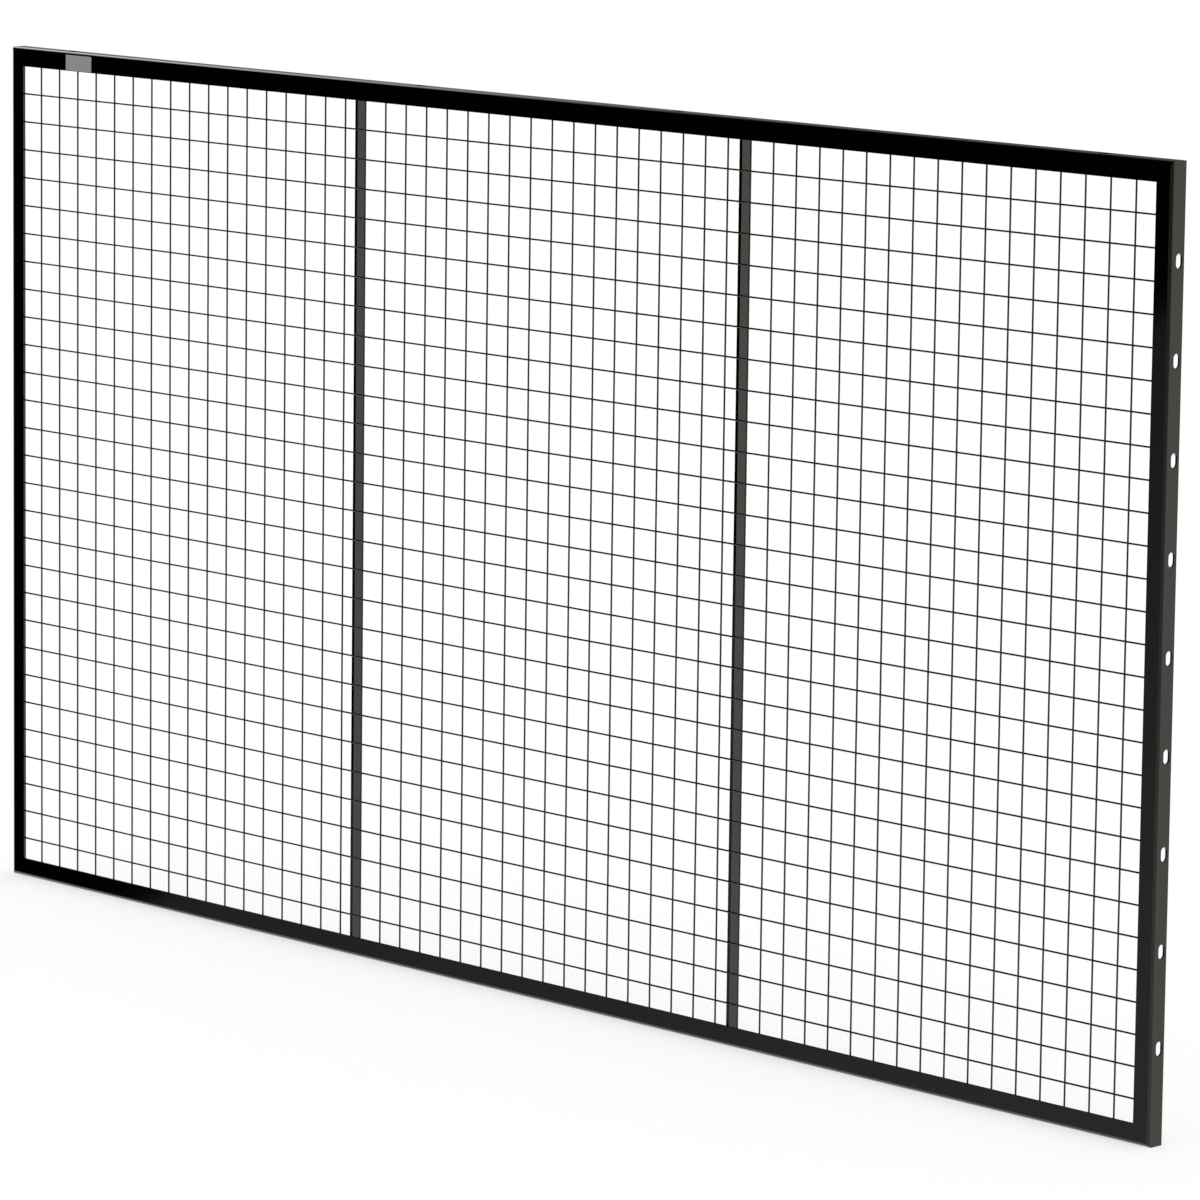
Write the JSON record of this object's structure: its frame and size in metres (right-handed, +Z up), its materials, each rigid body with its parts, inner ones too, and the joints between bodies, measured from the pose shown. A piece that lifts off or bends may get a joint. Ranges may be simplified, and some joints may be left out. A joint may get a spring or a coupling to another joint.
{
  "type": "machine guard fence panel",
  "caption": "Rectangular guard panel: mitred steel angle frame with slotted side flanges, square welded wire mesh and upright stiffener bars.",
  "frame": {"origin": "on the left stile's outer face, where the centre line of its slots meets the bottom edge of the panel", "axes": "+X across the panel to the right stile, +Y from the front to the back, +Z up"},
  "size_m": [2.7464, 0.0307, 1.5256],
  "materials": {
    "frame": "gloss black powder coat",
    "wire": "gloss black powder coat",
    "label": "matt grey, bare"
  },
  "bodies": {
    "root": {"top_rail": "frame", "bottom_rail": "frame", "left_stile": "frame", "right_stile": "frame", "left_stiffener": "frame", "right_stiffener": "frame", "mesh_left_lower": "wire", "mesh_left_upper": "wire", "mesh_middle_lower": "wire", "mesh_middle_upper": "wire", "mesh_right_lower": "wire", "mesh_right_upper": "wire", "label_plate": "label"}
  },
  "joints": []
}
